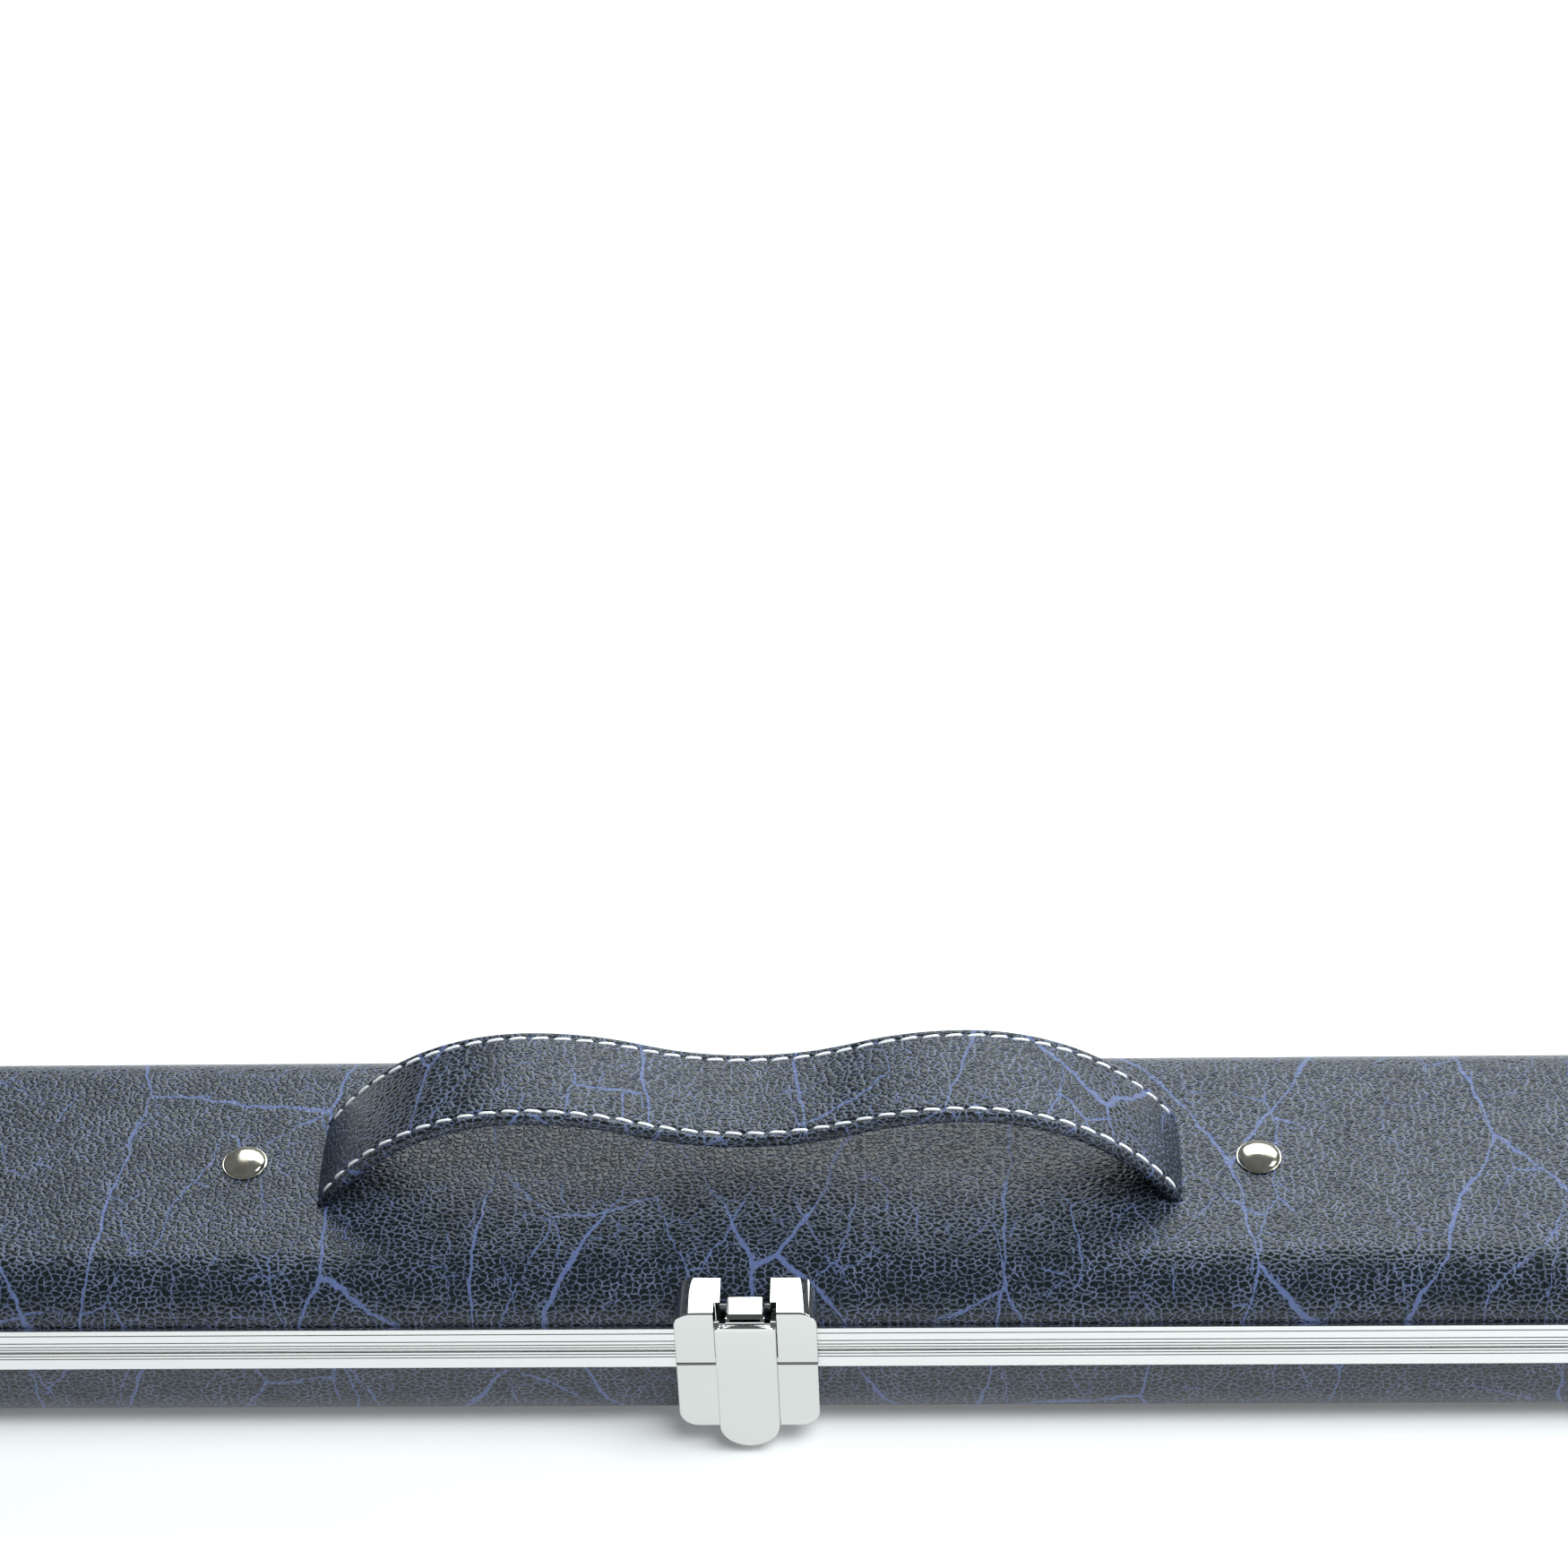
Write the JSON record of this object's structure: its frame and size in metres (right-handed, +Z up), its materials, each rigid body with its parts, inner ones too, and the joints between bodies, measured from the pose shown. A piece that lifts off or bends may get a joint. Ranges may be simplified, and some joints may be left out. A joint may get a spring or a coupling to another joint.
{
  "type": "cue case",
  "caption": "Long shallow hinged hard case with an arched strap handle, draw latches and foam-lined channels for a take-down cue.",
  "frame": {"origin": "on the floor under the middle of the case body, which is shut and latched", "axes": "+X along the case, -Y towards the latches, +Y towards the hinge, +Z up"},
  "size_m": [0.85, 0.1015, 0.0823],
  "materials": {
    "leatherette": "marbled navy blue leatherette with a fine pebble grain and blue veins, soft satin sheen",
    "aluminium": "satin anodised extrusion with fine lengthwise reeding",
    "chrome": "bright chrome-plated zinc castings",
    "nickel": "polished nickel-plated domes",
    "steel": "zinc-plated steel, lightly brushed",
    "foam": "matt black open-cell polyurethane foam",
    "board": "raw fibreboard"
  },
  "bodies": {
    "base": {"base_shell": "board", "base_cover": "leatherette", "base_rim": "aluminium", "base_foam": "foam", "hinge_leaf_base": "steel", "hinge_pin": "steel", "hinge_rivets_base": "aluminium", "keeper_rivets": "steel", "latch_keeper_left": "chrome", "latch_keeper_centre": "chrome", "latch_keeper_right": "chrome"},
    "lid": {"lid_shell": "board", "lid_cover": "leatherette", "lid_rim": "aluminium", "lid_foam": "foam", "handle_strap": "leatherette", "handle_core": "steel", "handle_studs": "nickel", "handle_washers": "steel", "hinge_leaf_lid": "steel", "hinge_rivets_lid": "aluminium", "latch_rivets": "steel", "latch_body_left": "chrome", "latch_body_centre": "chrome", "latch_body_right": "chrome", "link_pin_left": "steel", "link_pin_centre": "steel", "link_pin_right": "steel"},
    "link_left": {"latch_link_left": "chrome", "lever_pin_left": "steel"},
    "lever_left": {"latch_lever_left": "chrome"},
    "link_centre": {"latch_link_centre": "chrome", "lever_pin_centre": "steel"},
    "lever_centre": {"latch_lever_centre": "chrome"},
    "link_right": {"latch_link_right": "chrome", "lever_pin_right": "steel"},
    "lever_right": {"latch_lever_right": "chrome"}
  },
  "joints": [
    {"name": "lid_hinge", "type": "hinge", "parent": "base", "child": "lid", "pos_m": [0, 0.0475, 0.03115], "axis": [-1, 0, 0], "range_deg": [0, 100]},
    {"name": "link_pivot_left", "type": "hinge", "parent": "lid", "child": "link_left", "pos_m": [-0.312, -0.0434, 0.0452], "axis": [-1, 0, 0], "range_deg": [0, 40]},
    {"name": "lever_pivot_left", "type": "hinge", "parent": "link_left", "child": "lever_left", "pos_m": [-0.312, -0.0499, 0.0457], "axis": [-1, 0, 0], "range_deg": [0, 85]},
    {"name": "link_pivot_centre", "type": "hinge", "parent": "lid", "child": "link_centre", "pos_m": [0, -0.0434, 0.0452], "axis": [-1, 0, 0], "range_deg": [0, 40]},
    {"name": "lever_pivot_centre", "type": "hinge", "parent": "link_centre", "child": "lever_centre", "pos_m": [0, -0.0499, 0.0457], "axis": [-1, 0, 0], "range_deg": [0, 85]},
    {"name": "link_pivot_right", "type": "hinge", "parent": "lid", "child": "link_right", "pos_m": [0.312, -0.0434, 0.0452], "axis": [-1, 0, 0], "range_deg": [0, 40]},
    {"name": "lever_pivot_right", "type": "hinge", "parent": "link_right", "child": "lever_right", "pos_m": [0.312, -0.0499, 0.0457], "axis": [-1, 0, 0], "range_deg": [0, 85]}
  ],
  "couplings": [
    {"joint": "lever_pivot_left", "follows": "link_pivot_left", "ratio": 2.125},
    {"joint": "lever_pivot_centre", "follows": "link_pivot_centre", "ratio": 2.125},
    {"joint": "lever_pivot_right", "follows": "link_pivot_right", "ratio": 2.125}
  ]
}
